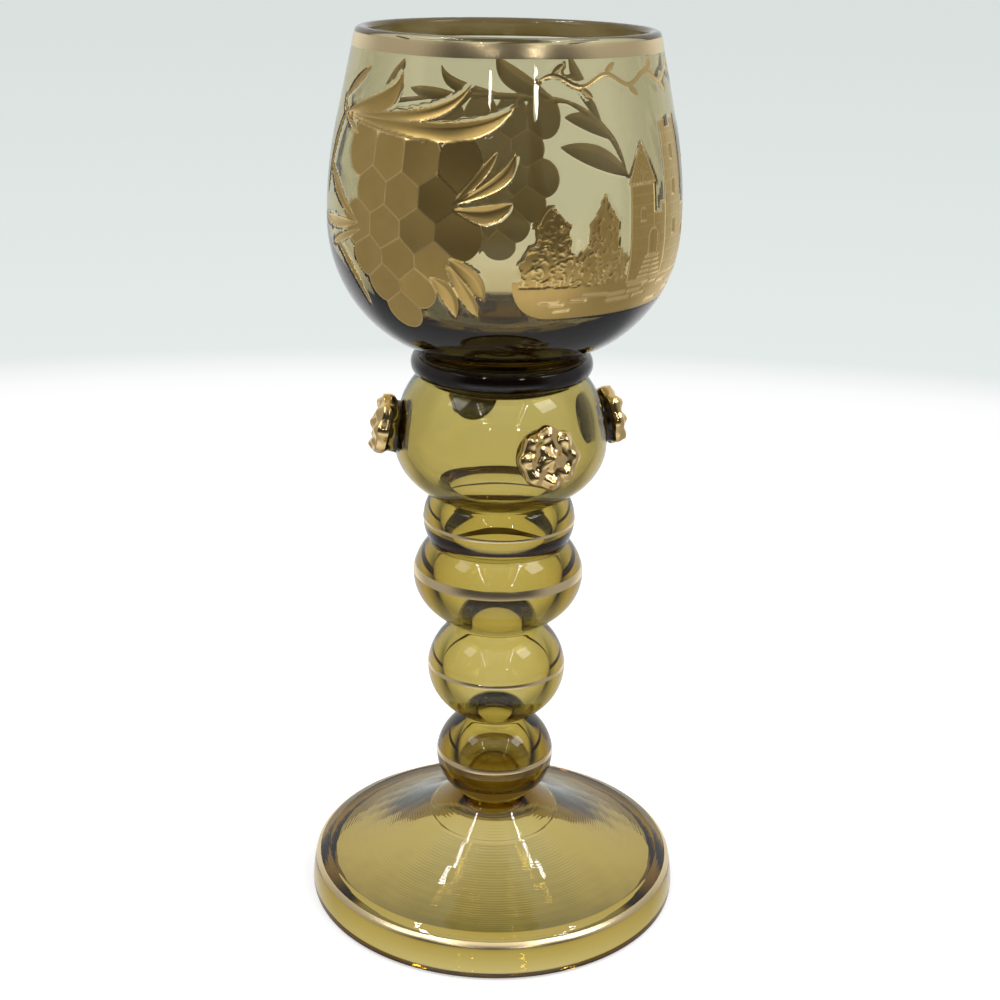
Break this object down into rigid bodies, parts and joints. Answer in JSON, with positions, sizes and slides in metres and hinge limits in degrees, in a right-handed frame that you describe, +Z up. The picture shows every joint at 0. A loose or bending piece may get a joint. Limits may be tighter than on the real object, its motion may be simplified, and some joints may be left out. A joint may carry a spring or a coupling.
{
  "type": "roemer glass",
  "caption": "Footed wine glass with a rounded bowl on a hollow prunted bulb and knopped stem, with gilt bands, grapes and a castle scene.",
  "frame": {"origin": "middle of the foot's contact ring, on the table", "axes": "+Z up along the glass, -Y towards the viewer, +X to the viewer's right"},
  "size_m": [0.083, 0.083, 0.19],
  "materials": {
    "bowl_glass": "pale olive-amber blown glass, fire-polished, with wheel-cut facets under the gilding",
    "stem_glass": "olive-amber blown glass, fire-polished",
    "foot_glass": "olive-amber glass with faint concentric tooling ripples",
    "dark_glass": "thick olive-amber glass that reads nearly black",
    "band_gold": "burnt-on gold bands, softly polished and slightly worn",
    "bright_gold": "bright burnished gold on the prunts",
    "matt_gold": "matt gold in wheel-cut facets, with bright edges"
  },
  "bodies": {
    "root": {"bowl": "bowl_glass", "collar": "dark_glass", "bulb": "stem_glass", "stem": "stem_glass", "foot": "foot_glass", "prunt_1": "dark_glass", "prunt_2": "dark_glass", "prunt_3": "dark_glass", "prunt_4": "dark_glass", "prunt_gilding_1": "bright_gold", "prunt_gilding_2": "bright_gold", "prunt_gilding_3": "bright_gold", "prunt_gilding_4": "bright_gold", "rim_band": "band_gold", "ring_knop_band": "band_gold", "upper_knop_band": "band_gold", "middle_knop_band": "band_gold", "lower_knop_band": "band_gold", "foot_band": "band_gold", "grape_gilding_front": "matt_gold", "grape_gilding_back": "matt_gold", "castle_gilding": "matt_gold", "tendril_gilding": "matt_gold"}
  },
  "joints": []
}
